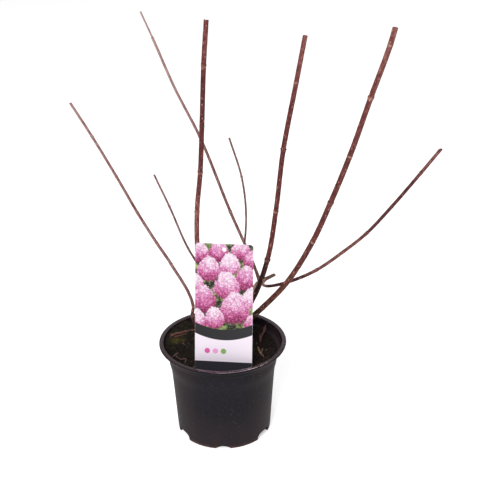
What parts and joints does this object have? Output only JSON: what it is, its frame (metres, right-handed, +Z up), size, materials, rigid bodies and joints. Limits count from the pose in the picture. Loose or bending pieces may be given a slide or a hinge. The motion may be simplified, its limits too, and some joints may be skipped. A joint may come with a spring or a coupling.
{
  "type": "potted hydrangea shrub",
  "caption": "Leafless hydrangea shrub with pruned reddish-brown canes on a short woody base, in a round black plastic nursery pot of soil with a picture label.",
  "frame": {"origin": "middle of the pot's flat underside", "axes": "+Z up, -Y towards the front of the label, +X to the right of someone facing the label"},
  "size_m": [0.533, 0.2265, 0.6654],
  "materials": {
    "pot_plastic": "matte near-black moulded polypropylene, satin on the lip",
    "soil": "rough dark peat",
    "moss": "rough olive moss",
    "label_card": "smooth printed plastic sheet",
    "old_wood": "rough fibrous bark",
    "cane_bark": "satin red-brown bark with pale pores"
  },
  "bodies": {
    "root": {"pot": "pot_plastic", "soil": "soil", "moss": "moss", "plant_label": "label_card", "woody_base": "old_wood", "cane_right_thick": "cane_bark", "cane_right_tall": "cane_bark", "cane_left_tall": "cane_bark", "cane_left_long": "cane_bark", "cane_left_short": "cane_bark", "cane_back_tall": "cane_bark", "cane_back_short": "cane_bark", "cane_right_low": "cane_bark", "pruned_stub": "cane_bark"}
  },
  "joints": []
}
